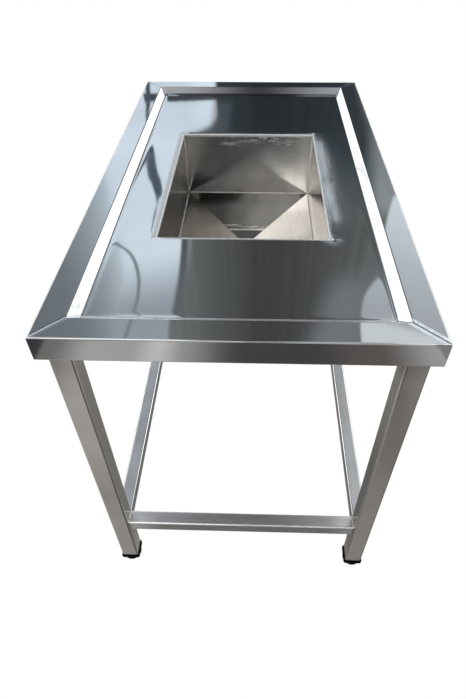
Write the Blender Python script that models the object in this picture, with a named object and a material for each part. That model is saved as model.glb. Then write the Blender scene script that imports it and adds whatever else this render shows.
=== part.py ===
"""A free-standing stainless steel sink table: a folded worktop with a welded bowl, on a square tube frame.

Metres, +Z up. The origin is on the floor under the middle of the table, +X runs across its width to the
right and +Y runs along its length to the back.
"""

import math

import bmesh
import bpy
import numpy as np

# Whole table
TABLE_WIDTH = 0.660
TABLE_LENGTH = 1.200
TABLE_HEIGHT = 0.850
SHEET = 0.0015
CLEARANCE = 0.0003

# Worktop: flat raised rim, slope down to the sunken deck, apron outside with a folded-in lip
RIM_WIDTH = 0.050
SLOPE_RUN = 0.018
DECK_DROP = 0.014
APRON_HEIGHT = 0.050
APRON_LIP = 0.008
BEND_RADIUS = 0.003
BEND_STEPS = 4

# Bowl
BOWL_WIDTH = 0.345
BOWL_LENGTH = 0.509
BOWL_CENTRE_Y = -0.0295
BOWL_DEPTH = 0.170
CUTOUT_FLANGE = 0.008
FLOOR_FALL = 0.013

# Waste fitting in the floor of the bowl
WASTE_THREAD_RADIUS = 0.021
WASTE_BORE_RADIUS = 0.018
WASTE_FLANGE_RADIUS = 0.028
WASTE_FLANGE_THICKNESS = 0.0035
WASTE_TAIL_LENGTH = 0.055
WASTE_EDGE_ROUND = 0.0008
WASTE_HOLE_CLEARANCE = 0.0015
DISH_WALL_RUN = 0.002
DISH_MARGIN = 0.0015
SEAL_THICKNESS = 0.0015
GASKET_THICKNESS = 0.003
SLIP_RING_THICKNESS = 0.001
NUT_FLATS = 0.056
NUT_HEIGHT = 0.010
NUT_COLLAR = 0.002
WASTE_SIDES = 36

# Lift-out strainer in the waste
STRAINER_RADIUS = 0.0235
STRAINER_THICKNESS = 0.0012
STRAINER_SEAT_CLEARANCE = 0.0007
STRAINER_HOLE_RADIUS = 0.0022
STRAINER_HOLE_SIDES = 10
STRAINER_HOLE_RINGS = ((0.0095, 6), (0.0165, 12))
KNOB_RADIUS = 0.0055
KNOB_NECK_RADIUS = 0.0028
KNOB_TOP_RADIUS = 0.0033
KNOB_FOOT_CONE = 0.0018
KNOB_NECK = 0.0022
KNOB_HEAD_CONE = 0.0023
KNOB_HEAD = 0.0014
KNOB_CROWN = 0.0013
KNOB_SIDES = 18

# Frame
LEG_TUBE = 0.042
LEG_WALL = 0.0015
LEG_CORNER = 0.004
LEG_INSET_X = 0.009
LEG_INSET_Y = 0.024
CROSS_TUBE = 0.034
CROSS_WALL = 0.0015
CROSS_CORNER = 0.003
CORNER_STEPS = 3
STRETCHER_CLEAR = 0.156

# Hat channels under the deck
HAT_WEB = 0.030
HAT_DEPTH = 0.020
HAT_FLANGE = 0.015

# Adjustable foot: insert pushed into the leg, threaded stem, round pad
INSERT_OVERHANG = 0.003
INSERT_FLANGE = 0.009
INSERT_CORNER = 0.006
INSERT_ROUND = 0.0015
PLUG_DEPTH = 0.025
PLUG_WALL = 0.0022
BOSS_RADIUS = 0.0095
BOSS_LENGTH = 0.030
STEM_RADIUS = 0.005
STEM_LENGTH = 0.055
STEM_HEX_FLATS = 0.016
STEM_HEX_HEIGHT = 0.005
STEM_BUTTON_RADIUS = 0.0075
STEM_BUTTON_HEIGHT = 0.003
STEM_TIP_CHAMFER = 0.0005
THREAD_CLEARANCE = 0.0005
PAD_RADIUS = 0.0235
PAD_TOP_RADIUS = 0.020
PAD_EDGE_ROUND = 0.003
PAD_RIM_HEIGHT = 0.006
PAD_TOP_ROUND = 0.0015
PAD_SOLE = 0.0025
PAD_LIP = 0.001
PAD_POCKET_CLEARANCE = 0.0008
FOOT_SIDES = 24

# Levels and places that follow from the sizes above
DECK_TOP = TABLE_HEIGHT - DECK_DROP
DECK_UNDER = DECK_TOP - SHEET
RIM_UNDER = TABLE_HEIGHT - SHEET
APRON_BOTTOM = TABLE_HEIGHT - APRON_HEIGHT
FLOOR_EDGE = DECK_TOP - BOWL_DEPTH
FLOOR_LOW = FLOOR_EDGE - FLOOR_FALL
DISH_LOW_RADIUS = WASTE_FLANGE_RADIUS + DISH_MARGIN
DISH_TOP_RADIUS = DISH_LOW_RADIUS + DISH_WALL_RUN
DISH_TOP = FLOOR_LOW + FLOOR_FALL * DISH_TOP_RADIUS / (BOWL_LENGTH / 2)
WASTE_TOP = DISH_TOP
WASTE_FLANGE_LOW = WASTE_TOP - WASTE_FLANGE_THICKNESS
DISH_SEAT = WASTE_FLANGE_LOW - SEAL_THICKNESS - 2 * CLEARANCE
BUTTON_LOW = PAD_SOLE + CLEARANCE
BUTTON_TOP = BUTTON_LOW + STEM_BUTTON_HEIGHT
LIP_LOW = BUTTON_TOP + CLEARANCE
LIP_TOP = LIP_LOW + PAD_LIP
HEX_LOW = LIP_TOP + CLEARANCE
HEX_TOP = HEX_LOW + STEM_HEX_HEIGHT
INSERT_LOW = HEX_TOP + CLEARANCE
INSERT_TOP = INSERT_LOW + INSERT_FLANGE
LEG_LOW = INSERT_TOP + CLEARANCE
LEG_X = TABLE_WIDTH / 2 - LEG_INSET_X - LEG_TUBE / 2
LEG_Y = TABLE_LENGTH / 2 - LEG_INSET_Y - LEG_TUBE / 2
INNER_X = LEG_X - LEG_TUBE / 2
INNER_Y = LEG_Y - LEG_TUBE / 2
STRETCHER_Z = STRETCHER_CLEAR + CROSS_TUBE / 2


def sheet_underside(inset):
    """Height of the worktop's underside at a distance in from the nearest apron."""
    slant = math.hypot(SLOPE_RUN, DECK_DROP) / SLOPE_RUN
    slope = TABLE_HEIGHT - SHEET * slant - (inset - RIM_WIDTH) * DECK_DROP / SLOPE_RUN
    return max(min(RIM_UNDER, slope), DECK_UNDER)


def clear_scene():
    for old in list(bpy.data.objects):
        bpy.data.objects.remove(old, do_unlink=True)


def make_material(name, colour, roughness, metallic):
    material = bpy.data.materials.new(name)
    material.use_nodes = True
    shader = material.node_tree.nodes["Principled BSDF"]
    shader.inputs["Base Color"].default_value = (*colour, 1.0)
    shader.inputs["Roughness"].default_value = roughness
    shader.inputs["Metallic"].default_value = metallic
    return material


def add_mesh(name, points, faces, material, place=(0.0, 0.0, 0.0), sharp=35.0):
    """One closed mesh object; its points are given about its own origin, which lies at place."""
    mesh = bpy.data.meshes.new(name)
    shape = bmesh.new()
    corners = [shape.verts.new(point) for point in points]
    for face in faces:
        shape.faces.new([corners[index] for index in face])
    bmesh.ops.recalc_face_normals(shape, faces=shape.faces)
    shape.to_mesh(mesh)
    shape.free()
    mesh.shade_smooth()
    mesh.set_sharp_from_angle(angle=math.radians(sharp))
    mesh.materials.append(material)
    thing = bpy.data.objects.new(name, mesh)
    thing.location = place
    bpy.context.scene.collection.objects.link(thing)
    return thing


def ring_faces(ring_count, side_count, closed):
    """Quads between each ring and the next; a closed stack joins the last ring to the first,
    and an open one gets a flat cap at each end."""
    faces = []
    last = ring_count if closed else ring_count - 1
    for ring in range(last):
        below = ring * side_count
        above = (ring + 1) % ring_count * side_count
        for side in range(side_count):
            after = (side + 1) % side_count
            faces.append((below + side, below + after, above + after, above + side))
    if not closed:
        faces.append(tuple(range(side_count)))
        faces.append(tuple((ring_count - 1) * side_count + side for side in range(side_count)))
    return faces


def add_rings(name, rings, material, place=(0.0, 0.0, 0.0), closed=True, sharp=35.0):
    stack = np.array(rings)
    ring_count, side_count, _ = stack.shape
    faces = ring_faces(ring_count, side_count, closed)
    return add_mesh(name, stack.reshape(-1, 3), faces, material, place, sharp)


def circle_ring(radius, height, sides):
    turn = np.arange(sides) * 2 * math.pi / sides
    return np.stack([radius * np.cos(turn), radius * np.sin(turn), np.full(sides, height)], axis=1)


def polygon_ring(edges, flats, height, sides):
    """A regular polygon across its flats, with its edges divided evenly so that it meets a circle ring."""
    turn = np.arange(sides) * 2 * math.pi / sides
    edge_turn = 2 * math.pi / edges
    reach = flats / 2 / np.cos((turn % edge_turn) - edge_turn / 2)
    return np.stack([reach * np.cos(turn), reach * np.sin(turn), np.full(sides, height)], axis=1)


def square_ring(half, corner, height, sides):
    """A square with round corners; each corner takes a quarter of the points along its arc."""
    share = sides // 4
    arc = np.linspace(0, math.pi / 2, share)
    points = []
    for quarter in range(4):
        start = quarter * math.pi / 2
        middle = start + math.pi / 4
        centre = (half - corner) * math.sqrt(2)
        points.append(np.stack([
            centre * math.cos(middle) + corner * np.cos(start + arc),
            centre * math.sin(middle) + corner * np.sin(start + arc),
            np.full(share, height),
        ], axis=1))
    return np.concatenate(points)


def turned(profile, sides):
    """Circle rings from a list of (radius, height) pairs."""
    return [circle_ring(radius, height, sides) for radius, height in profile]


def filleted(corners, radius, steps):
    """A path of straight runs joined by arcs, as points and unit normals on the left of the path."""
    corners = [np.array(corner, dtype=float) for corner in corners]
    points = []
    normals = []

    def note(point, direction):
        points.append(point)
        normals.append(np.array([-direction[1], direction[0]]))

    directions = []
    for first, second in zip(corners, corners[1:]):
        run = second - first
        directions.append(run / np.linalg.norm(run))
    note(corners[0], directions[0])
    for index in range(1, len(corners) - 1):
        come, go = directions[index - 1], directions[index]
        bend = math.atan2(come[0] * go[1] - come[1] * go[0], float(come @ go))
        side = math.copysign(1.0, bend)
        back = radius * math.tan(abs(bend) / 2)
        start = corners[index] - come * back
        centre = start + side * radius * np.array([-come[1], come[0]])
        for step in range(steps + 1):
            turn = bend * step / steps
            spin = np.array([[math.cos(turn), -math.sin(turn)], [math.sin(turn), math.cos(turn)]])
            note(centre + spin @ (start - centre), spin @ come)
    note(corners[-1], directions[-1])
    return np.array(points), np.array(normals)


def rectangle_ring(west, east, south, north, height):
    return [(west, south, height), (east, south, height), (east, north, height), (west, north, height)]


def build_worktop(steel):
    """One sheet: lip, apron, rim, slope and deck are rings about the middle of the table,
    and the flange turned down round the cut-out is rings about the middle of the bowl."""
    half_x, half_y = TABLE_WIDTH / 2, TABLE_LENGTH / 2
    deck_start = RIM_WIDTH + SLOPE_RUN
    edge, edge_side = filleted([
        (APRON_LIP, APRON_BOTTOM),
        (0.0, APRON_BOTTOM),
        (0.0, TABLE_HEIGHT),
        (RIM_WIDTH, TABLE_HEIGHT),
        (deck_start, DECK_TOP),
        (deck_start + BEND_RADIUS, DECK_TOP),
    ], BEND_RADIUS, BEND_STEPS)
    hole, hole_side = filleted([
        (-2 * BEND_RADIUS, DECK_TOP),
        (0.0, DECK_TOP),
        (0.0, DECK_TOP - CUTOUT_FLANGE),
    ], BEND_RADIUS, BEND_STEPS)

    def edge_ring(point):
        inset, height = point
        return rectangle_ring(inset - half_x, half_x - inset, inset - half_y, half_y - inset, height)

    def hole_ring(point):
        inward, height = point
        reach_x, reach_y = BOWL_WIDTH / 2 - inward, BOWL_LENGTH / 2 - inward
        return rectangle_ring(-reach_x, reach_x, BOWL_CENTRE_Y - reach_y, BOWL_CENTRE_Y + reach_y, height)

    top = [edge_ring(point) for point in edge] + [hole_ring(point) for point in hole]
    under = [edge_ring(point) for point in edge - SHEET * edge_side]
    under += [hole_ring(point) for point in hole - SHEET * hole_side]
    return add_rings("worktop", top + under[::-1], steel)


def add_prism(name, outline, low, high, material, place=(0.0, 0.0, 0.0)):
    """A flat outline in X and Y carried straight up from low to high."""
    outline = np.array(outline)
    rings = [np.column_stack([outline, np.full(len(outline), level)]) for level in (low, high)]
    return add_rings(name, rings, material, place, closed=False)


def build_bowl_walls(steel):
    """Four flat sheets, mitred at the corners of the bowl; each stands on the floor sheet and
    is welded to the flange of the cut-out above it."""
    low = FLOOR_EDGE + CLEARANCE
    high = DECK_TOP - CUTOUT_FLANGE - CLEARANCE
    walls = (
        ("left", BOWL_WIDTH, BOWL_LENGTH, (-1, 0)),
        ("right", BOWL_WIDTH, BOWL_LENGTH, (1, 0)),
        ("front", BOWL_LENGTH, BOWL_WIDTH, (0, -1)),
        ("back", BOWL_LENGTH, BOWL_WIDTH, (0, 1)),
    )
    for side, span, length, (out_x, out_y) in walls:
        near, far = span / 2, span / 2 + SHEET
        end = length / 2 - CLEARANCE / 2
        outline = []
        for along, outward in ((-end, near), (end, near), (end + SHEET, far), (-end - SHEET, far)):
            outline.append((out_x * outward - out_y * along, out_y * outward + out_x * along))
        add_prism(f"bowl_wall_{side}", outline, low, high, steel, (0.0, BOWL_CENTRE_Y, 0.0))


def build_bowl_floor(steel):
    """The floor falls along four facets, creased from its corners, to a round pressed dish with the
    waste hole, deep enough for the waste's flange to lie flush. Each ray from the middle runs over
    the same rings, so the facets stay flat."""
    half_x, half_y = BOWL_WIDTH / 2, BOWL_LENGTH / 2
    corner = math.atan2(half_y, half_x)
    creases = (-corner, corner, math.pi - corner, math.pi + corner, 2 * math.pi - corner)
    turns = np.concatenate([
        np.linspace(start, stop, WASTE_SIDES // 4, endpoint=False)
        for start, stop in zip(creases, creases[1:])
    ])
    ray = np.stack([np.cos(turns), np.sin(turns)], axis=1)
    to_edge = 1 / np.maximum(np.abs(ray[:, 0]) / half_x, np.abs(ray[:, 1]) / half_y)
    outer_x, outer_y = half_x + SHEET, half_y + SHEET
    to_rim = 1 / np.maximum(np.abs(ray[:, 0]) / outer_x, np.abs(ray[:, 1]) / outer_y)

    hole = WASTE_THREAD_RADIUS + WASTE_HOLE_CLEARANCE
    facet = FLOOR_LOW + FLOOR_FALL * DISH_TOP_RADIUS / to_edge
    seat = np.full(len(turns), DISH_SEAT)
    rim = np.full(len(turns), FLOOR_EDGE)
    top = []
    for reach, height in ((to_rim, rim), (to_edge, rim), (DISH_TOP_RADIUS, facet),
                          (DISH_LOW_RADIUS, seat), (hole, seat)):
        flat = ray * np.reshape(np.broadcast_to(reach, turns.shape), (-1, 1))
        top.append(np.column_stack([flat, height]))
    under = [ring - np.array([0.0, 0.0, SHEET]) for ring in top]
    return add_rings("bowl_floor", top + under[::-1], steel, (0.0, BOWL_CENTRE_Y, 0.0), sharp=2.0)


def build_waste(steel, rubber, plastic):
    """From the top: flange on its seal in the dish, threaded tail through the floor, then a gasket,
    a slip ring and the back nut under the sheet, and the lift-out strainer in the flange's rebate."""
    place = (0.0, BOWL_CENTRE_Y, 0.0)
    rebate = STRAINER_RADIUS + STRAINER_SEAT_CLEARANCE
    rebate_floor = WASTE_TOP - STRAINER_THICKNESS - 2 * CLEARANCE
    tail_end = WASTE_FLANGE_LOW - WASTE_TAIL_LENGTH
    body = (
        (WASTE_BORE_RADIUS, rebate_floor),
        (rebate, rebate_floor),
        (rebate, WASTE_TOP),
        (WASTE_FLANGE_RADIUS - WASTE_EDGE_ROUND, WASTE_TOP),
        (WASTE_FLANGE_RADIUS, WASTE_TOP - WASTE_EDGE_ROUND),
        (WASTE_FLANGE_RADIUS, WASTE_FLANGE_LOW),
        (WASTE_THREAD_RADIUS, WASTE_FLANGE_LOW),
        (WASTE_THREAD_RADIUS, tail_end + WASTE_EDGE_ROUND),
        (WASTE_THREAD_RADIUS - WASTE_EDGE_ROUND, tail_end),
        (WASTE_BORE_RADIUS, tail_end),
    )
    add_rings("waste_body", turned(body, WASTE_SIDES), steel, place)

    inner = WASTE_THREAD_RADIUS + CLEARANCE

    def add_washer(name, outer, low, high, material):
        loop = ((inner, low), (outer, low), (outer, high), (inner, high))
        add_rings(name, turned(loop, WASTE_SIDES), material, place)

    seal_low = DISH_SEAT + CLEARANCE
    add_washer("waste_seal", WASTE_FLANGE_RADIUS, seal_low, seal_low + SEAL_THICKNESS, rubber)
    level = DISH_SEAT - SHEET - CLEARANCE
    add_washer("waste_gasket", WASTE_FLANGE_RADIUS, level - GASKET_THICKNESS, level, rubber)
    level -= GASKET_THICKNESS + CLEARANCE
    add_washer("waste_slip_ring", WASTE_FLANGE_RADIUS, level - SLIP_RING_THICKNESS, level, plastic)
    level -= SLIP_RING_THICKNESS + CLEARANCE
    collar = NUT_FLATS / 2
    nut = [
        circle_ring(inner, level, WASTE_SIDES),
        circle_ring(collar, level, WASTE_SIDES),
        circle_ring(collar, level - NUT_COLLAR, WASTE_SIDES),
        polygon_ring(6, NUT_FLATS - 2 * NUT_COLLAR, level - NUT_COLLAR, WASTE_SIDES),
        polygon_ring(6, NUT_FLATS - 2 * NUT_COLLAR, level - NUT_HEIGHT, WASTE_SIDES),
        circle_ring(inner, level - NUT_HEIGHT, WASTE_SIDES),
    ]
    add_rings("waste_nut", nut, steel, place)
    build_strainer(steel, rebate_floor + CLEARANCE)


def build_strainer(steel, seat):
    """A perforated disc with a turned knob riveted to its middle. Its origin is on the waste's axis."""
    place = (0.0, BOWL_CENTRE_Y, seat)
    disc = turned(((STRAINER_RADIUS, 0.0), (STRAINER_RADIUS, STRAINER_THICKNESS)), WASTE_SIDES)
    plate = add_rings("strainer_plate", disc, steel, place, closed=False)
    points = []
    faces = []
    reach = STRAINER_THICKNESS
    for radius, count in STRAINER_HOLE_RINGS:
        for index in range(count):
            turn = 2 * math.pi * index / count
            middle = np.array([radius * math.cos(turn), radius * math.sin(turn), 0.0])
            start = len(points)
            for height in (-reach, STRAINER_THICKNESS + reach):
                points.extend(middle + circle_ring(STRAINER_HOLE_RADIUS, height, STRAINER_HOLE_SIDES))
            faces.extend(
                tuple(start + corner for corner in face)
                for face in ring_faces(2, STRAINER_HOLE_SIDES, closed=False)
            )
    cutter = add_mesh("strainer_holes", points, faces, steel, place)
    cutter.hide_render = True
    cutter.display_type = "WIRE"
    cut = plate.modifiers.new("holes", "BOOLEAN")
    cut.operation = "DIFFERENCE"
    cut.solver = "EXACT"
    cut.object = cutter

    level = STRAINER_THICKNESS + CLEARANCE
    knob = [(KNOB_RADIUS, level)]
    for radius, rise in ((KNOB_NECK_RADIUS, KNOB_FOOT_CONE), (KNOB_NECK_RADIUS, KNOB_NECK),
                         (KNOB_RADIUS, KNOB_HEAD_CONE), (KNOB_RADIUS, KNOB_HEAD),
                         (KNOB_TOP_RADIUS, KNOB_CROWN)):
        level += rise
        knob.append((radius, level))
    add_rings("strainer_knob", turned(knob, KNOB_SIDES), steel, place, closed=False)


def add_tube(name, size, wall, corner, start, length, axis, material):
    """A square tube, open at both ends, that runs from start along +X, +Y or +Z."""
    sides = 4 * (CORNER_STEPS + 1)
    rings = [
        square_ring(size / 2, corner, 0.0, sides),
        square_ring(size / 2, corner, length, sides),
        square_ring(size / 2 - wall, corner - wall, length, sides),
        square_ring(size / 2 - wall, corner - wall, 0.0, sides),
    ]
    turned_rings = [np.roll(ring, {"X": 1, "Y": 2, "Z": 0}[axis], axis=1) for ring in rings]
    return add_rings(name, turned_rings, material, start)


def build_frame(steel):
    reach_x = LEG_INSET_X + LEG_TUBE
    reach_y = LEG_INSET_Y + LEG_TUBE
    leg_top = sheet_underside(min(reach_x, reach_y)) - CLEARANCE
    for end, sign_y in (("front", -1), ("back", 1)):
        for side, sign_x in (("left", -1), ("right", 1)):
            add_tube(f"leg_{end}_{side}", LEG_TUBE, LEG_WALL, LEG_CORNER,
                     (sign_x * LEG_X, sign_y * LEG_Y, LEG_LOW), leg_top - LEG_LOW, "Z", steel)

    # Cross tubes lie flush with the inner faces of the legs
    line_x = INNER_X + CROSS_TUBE / 2
    line_y = INNER_Y + CROSS_TUBE / 2
    across = 2 * (INNER_X - CLEARANCE)
    along = 2 * (INNER_Y - CLEARANCE)
    side_level = sheet_underside(reach_x) - CLEARANCE - CROSS_TUBE / 2
    end_level = sheet_underside(reach_y) - CLEARANCE - CROSS_TUBE / 2
    for side, sign in (("left", -1), ("right", 1)):
        for name, level in ((f"top_rail_{side}", side_level), (f"stretcher_{side}", STRETCHER_Z)):
            add_tube(name, CROSS_TUBE, CROSS_WALL, CROSS_CORNER,
                     (sign * line_x, -along / 2, level), along, "Y", steel)
    for end, sign in (("front", -1), ("back", 1)):
        for name, level in ((f"top_rail_{end}", end_level), (f"stretcher_{end}", STRETCHER_Z)):
            add_tube(name, CROSS_TUBE, CROSS_WALL, CROSS_CORNER,
                     (-across / 2, sign * line_y, level), across, "X", steel)


def build_stiffeners(steel):
    """Two hat channels across the underside of the deck, halfway between the bowl and each end,
    with their flanges against the deck and their ends on the side rails."""
    length = 2 * (INNER_X - CLEARANCE)
    half_web = HAT_WEB / 2
    path, side = filleted([
        (-half_web - HAT_FLANGE, -SHEET),
        (-half_web, -SHEET),
        (-half_web, -HAT_DEPTH),
        (half_web, -HAT_DEPTH),
        (half_web, -SHEET),
        (half_web + HAT_FLANGE, -SHEET),
    ], BEND_RADIUS, BEND_STEPS - 1)
    section = np.concatenate([path, (path + SHEET * side)[::-1]])
    deck_end = TABLE_LENGTH / 2 - RIM_WIDTH - SLOPE_RUN
    for end, sign in (("front", -1), ("back", 1)):
        bowl_end = BOWL_CENTRE_Y + sign * BOWL_LENGTH / 2
        middle = (sign * deck_end + bowl_end) / 2
        rings = []
        for x in (-length / 2, length / 2):
            rings.append(np.column_stack([np.full(len(section), x), section]))
        add_rings(f"deck_stiffener_{end}", rings, steel, (0.0, middle, DECK_UNDER - CLEARANCE), closed=False)


def build_foot(name, x, y, steel, plastic):
    """Insert in the leg, stem and pad; the stem's button turns in the pad's socket, and its
    hexagon comes up against the insert when the foot is screwed fully in."""
    sides = FOOT_SIDES
    half = LEG_TUBE / 2 + INSERT_OVERHANG
    half_cut = half - INSERT_ROUND
    corner_cut = INSERT_CORNER - INSERT_ROUND
    plug = LEG_TUBE / 2 - LEG_WALL - CLEARANCE
    plug_corner = LEG_CORNER - LEG_WALL
    plug_top = INSERT_TOP + PLUG_DEPTH
    boss_top = INSERT_TOP + BOSS_LENGTH
    bore = STEM_RADIUS + THREAD_CLEARANCE
    insert = [
        circle_ring(bore, INSERT_LOW, sides),
        square_ring(half_cut, corner_cut, INSERT_LOW, sides),
        square_ring(half, INSERT_CORNER, INSERT_LOW + INSERT_ROUND, sides),
        square_ring(half, INSERT_CORNER, INSERT_TOP - INSERT_ROUND, sides),
        square_ring(half_cut, corner_cut, INSERT_TOP, sides),
        square_ring(plug, plug_corner, INSERT_TOP, sides),
        square_ring(plug, plug_corner, plug_top, sides),
        square_ring(plug - PLUG_WALL, plug_corner, plug_top, sides),
        square_ring(plug - PLUG_WALL, plug_corner, INSERT_TOP, sides),
        circle_ring(BOSS_RADIUS, INSERT_TOP, sides),
        circle_ring(BOSS_RADIUS, boss_top, sides),
        circle_ring(bore, boss_top, sides),
    ]
    add_rings(f"foot_insert_{name}", insert, plastic, (x, y, 0.0))

    stem_top = HEX_TOP + STEM_LENGTH
    stem = [
        circle_ring(STEM_BUTTON_RADIUS, BUTTON_LOW, sides),
        circle_ring(STEM_BUTTON_RADIUS, BUTTON_TOP, sides),
        circle_ring(STEM_RADIUS, BUTTON_TOP, sides),
        circle_ring(STEM_RADIUS, HEX_LOW, sides),
        polygon_ring(6, STEM_HEX_FLATS, HEX_LOW, sides),
        polygon_ring(6, STEM_HEX_FLATS, HEX_TOP, sides),
        circle_ring(STEM_RADIUS, HEX_TOP, sides),
        circle_ring(STEM_RADIUS, stem_top - STEM_TIP_CHAMFER, sides),
        circle_ring(STEM_RADIUS - STEM_TIP_CHAMFER, stem_top, sides),
    ]
    add_rings(f"foot_stem_{name}", stem, steel, (x, y, 0.0), closed=False)

    pocket = STEM_HEX_FLATS / math.sqrt(3) + PAD_POCKET_CLEARANCE
    socket = STEM_BUTTON_RADIUS + PAD_POCKET_CLEARANCE
    neck = STEM_RADIUS + PAD_POCKET_CLEARANCE
    pad = (
        (PAD_RADIUS - PAD_EDGE_ROUND, 0.0),
        (PAD_RADIUS, PAD_EDGE_ROUND),
        (PAD_RADIUS, PAD_RIM_HEIGHT),
        (PAD_TOP_RADIUS, HEX_TOP - PAD_TOP_ROUND),
        (PAD_TOP_RADIUS - PAD_TOP_ROUND, HEX_TOP),
        (pocket, HEX_TOP),
        (pocket, LIP_TOP),
        (neck, LIP_TOP),
        (neck, LIP_LOW),
        (socket, LIP_LOW),
        (socket, PAD_SOLE),
    )
    add_rings(f"foot_pad_{name}", turned(pad, sides), plastic, (x, y, 0.0), closed=False)


def build_table():
    clear_scene()
    polished = make_material("polished_steel", (0.62, 0.62, 0.61), 0.18, 1.0)
    bowl_steel = make_material("bowl_steel", (0.56, 0.55, 0.53), 0.30, 1.0)
    tube_steel = make_material("tube_steel", (0.55, 0.54, 0.52), 0.25, 1.0)
    plain_steel = make_material("fitting_steel", (0.60, 0.60, 0.60), 0.22, 1.0)
    zinc = make_material("zinc_steel", (0.50, 0.51, 0.53), 0.35, 1.0)
    rubber = make_material("rubber", (0.03, 0.03, 0.03), 0.75, 0.0)
    black = make_material("black_plastic", (0.02, 0.02, 0.022), 0.45, 0.0)
    white = make_material("white_plastic", (0.75, 0.75, 0.73), 0.5, 0.0)

    build_worktop(polished)
    build_bowl_walls(bowl_steel)
    build_bowl_floor(bowl_steel)
    build_waste(plain_steel, rubber, white)
    build_frame(tube_steel)
    build_stiffeners(tube_steel)
    for end, sign_y in (("front", -1), ("back", 1)):
        for side, sign_x in (("left", -1), ("right", 1)):
            build_foot(f"{end}_{side}", sign_x * LEG_X, sign_y * LEG_Y, zinc, black)


build_table()
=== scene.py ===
import math

import bpy
import numpy as np
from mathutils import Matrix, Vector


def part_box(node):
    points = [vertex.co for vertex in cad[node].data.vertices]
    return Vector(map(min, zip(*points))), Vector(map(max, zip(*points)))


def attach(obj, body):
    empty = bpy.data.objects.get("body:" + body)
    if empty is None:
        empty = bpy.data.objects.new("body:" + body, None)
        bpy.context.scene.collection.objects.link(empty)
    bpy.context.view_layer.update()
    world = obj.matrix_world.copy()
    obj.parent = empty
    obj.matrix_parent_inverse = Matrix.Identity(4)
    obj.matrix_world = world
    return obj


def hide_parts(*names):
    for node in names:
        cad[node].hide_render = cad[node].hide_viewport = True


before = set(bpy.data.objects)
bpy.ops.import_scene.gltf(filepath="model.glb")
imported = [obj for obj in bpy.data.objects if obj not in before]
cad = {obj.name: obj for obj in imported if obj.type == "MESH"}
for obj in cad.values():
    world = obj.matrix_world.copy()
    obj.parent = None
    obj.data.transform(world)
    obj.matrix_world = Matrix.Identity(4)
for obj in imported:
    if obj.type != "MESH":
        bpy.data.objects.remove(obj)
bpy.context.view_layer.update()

print("frame loaded,", len(cad), "nodes")

# Places that follow from the solids
tableLow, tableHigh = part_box("worktop")
halfX, halfY, tableTop = tableHigh.x, tableHigh.y, tableHigh.z
apronLow = tableLow.z
floorLow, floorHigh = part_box("bowl_floor")
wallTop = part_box("bowl_wall_left")[1].z
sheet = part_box("bowl_wall_left")[1].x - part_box("bowl_wall_left")[0].x
bowlY = (floorLow.y + floorHigh.y) / 2
bowlHalfX = floorHigh.x - sheet
bowlHalfY = (floorHigh.y - floorLow.y) / 2 - sheet
bowlFloor = floorHigh.z


# Meshes

# Corner numbers of the quads of a grid of rows x cols points, joined round where asked
def gridQuads(rows, cols, closeRows=False, closeCols=False):
    row = np.arange(rows if closeRows else rows - 1)[:, None]
    col = np.arange(cols if closeCols else cols - 1)[None, :]
    nextRow, nextCol = (row + 1) % rows, (col + 1) % cols
    return np.stack([row * cols + col, row * cols + nextCol,
                     nextRow * cols + nextCol, nextRow * cols + col], axis=-1).reshape(-1, 4)


# Puts arrays into a mesh. cornerNormals holds one normal for each corner of each quad
def makePiece(name, points, quads, material, cornerNormals=None, sharp=40, body="frame", stands=()):
    points = np.asarray(points, float).reshape(-1, 3)
    quads = np.asarray(quads, np.int32)
    mesh = bpy.data.meshes.new(name)
    mesh.vertices.add(len(points))
    mesh.vertices.foreach_set("co", points.ravel())
    mesh.loops.add(quads.size)
    mesh.loops.foreach_set("vertex_index", quads.ravel())
    mesh.polygons.add(len(quads))
    mesh.polygons.foreach_set("loop_start", np.arange(len(quads), dtype=np.int32) * 4)
    mesh.polygons.foreach_set("loop_total", np.full(len(quads), 4, np.int32))
    mesh.update(calc_edges=True)
    mesh.shade_smooth()
    if cornerNormals is None:
        mesh.set_sharp_from_angle(angle=math.radians(sharp))
    else:
        mesh.normals_split_custom_set(np.asarray(cornerNormals).reshape(-1, 3))
    mesh.materials.append(material)
    piece = bpy.data.objects.new(name, mesh)
    bpy.context.scene.collection.objects.link(piece)
    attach(piece, body)
    if stands:
        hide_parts(*stands)


# Straight runs joined by arcs: points on the path, and the unit normal on its left.
# Each arc's centre lies one radius to the side that the path turns to
def roundedPath(corners, radii, steps):
    corners = np.array(corners, float)
    runs = np.diff(corners, axis=0)
    runs /= np.linalg.norm(runs, axis=1)[:, None]
    left = np.stack([-runs[:, 1], runs[:, 0]], axis=1)
    points, normals = [corners[:1]], [left[:1]]
    for index in range(1, len(corners) - 1):
        come, go, radius = runs[index - 1], runs[index], radii[index - 1]
        bend = math.atan2(come[0] * go[1] - come[1] * go[0], come @ go)
        side = math.copysign(1, bend)
        centre = corners[index] - come * radius * math.tan(abs(bend) / 2) + side * radius * left[index - 1]
        turn = np.linspace(0, bend, steps + 1)[:, None]
        spun = np.cos(turn) * left[index - 1] - np.sin(turn) * come
        points.append(centre - side * radius * spun)
        normals.append(spun)
    points.append(corners[-1:])
    normals.append(left[-1:])
    return np.concatenate(points), np.concatenate(normals)


# Extra points on runs that are longer than asked, so that a sheet's waves have points to show on
def splitRuns(points, normals, longest):
    newPoints, newNormals = [points[:1]], [normals[:1]]
    for index in range(1, len(points)):
        run = np.linalg.norm(points[index] - points[index - 1])
        share = np.linspace(0, 1, max(1, math.ceil(run / longest)) + 1)[1:, None]
        newPoints.append(points[index - 1] + (points[index] - points[index - 1]) * share)
        newNormals.append(normals[index - 1] + (normals[index] - normals[index - 1]) * share)
    return np.concatenate(newPoints), np.concatenate(newNormals)


# Shader nodes

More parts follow.
